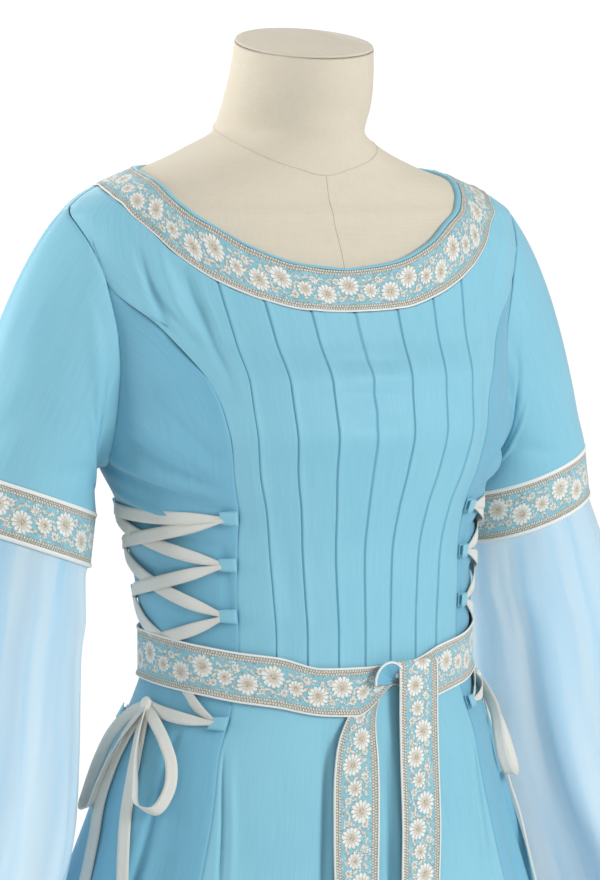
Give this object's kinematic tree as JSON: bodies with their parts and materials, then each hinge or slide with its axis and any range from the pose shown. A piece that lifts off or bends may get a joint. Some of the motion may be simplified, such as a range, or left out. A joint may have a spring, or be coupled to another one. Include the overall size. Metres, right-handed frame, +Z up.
{
  "type": "medieval dress on a dress form with stand",
  "caption": "Laced floor-length gown with pin tucks, floral ribbon trim, tied belt and wide sheer sleeves, on a limbless linen dress form.",
  "frame": {"origin": "centre of the bounding box at floor level, under the stand's base", "axes": "+Z up, the dress faces -Y, the wearer's left is +X"},
  "size_m": [0.889, 0.7984, 1.4954],
  "materials": {
    "blue_cloth": "satin",
    "sheer_cloth": "sheer",
    "floral_ribbon": "woven",
    "lace_tape": "matt",
    "linen": "matt",
    "stand_metal": "satin"
  },
  "bodies": {
    "root": {"front_panel": "blue_cloth", "back_panel": "blue_cloth", "side_panel_left": "blue_cloth", "side_panel_right": "blue_cloth", "upper_sleeve_left": "blue_cloth", "upper_sleeve_right": "blue_cloth", "neckline_binding": "blue_cloth", "front_loop_1_left": "blue_cloth", "front_loop_1_right": "blue_cloth", "front_loop_2_left": "blue_cloth", "front_loop_2_right": "blue_cloth", "front_loop_3_left": "blue_cloth", "front_loop_3_right": "blue_cloth", "front_loop_4_left": "blue_cloth", "front_loop_4_right": "blue_cloth", "back_loop_1_left": "blue_cloth", "back_loop_1_right": "blue_cloth", "back_loop_2_left": "blue_cloth", "back_loop_2_right": "blue_cloth", "back_loop_3_left": "blue_cloth", "back_loop_3_right": "blue_cloth", "back_loop_4_left": "blue_cloth", "back_loop_4_right": "blue_cloth", "sheer_sleeve_left": "sheer_cloth", "sheer_sleeve_right": "sheer_cloth", "neckline_ribbon": "floral_ribbon", "sleeve_ribbon_left": "floral_ribbon", "sleeve_ribbon_right": "floral_ribbon", "belt": "floral_ribbon", "belt_knot": "floral_ribbon", "belt_tie_left": "floral_ribbon", "belt_tie_right": "floral_ribbon", "lacing_left": "lace_tape", "lacing_right": "lace_tape", "lacing_bow_left": "lace_tape", "lacing_bow_right": "lace_tape", "dress_form": "linen", "stand_pole": "stand_metal", "stand_base": "stand_metal"}
  },
  "joints": []
}
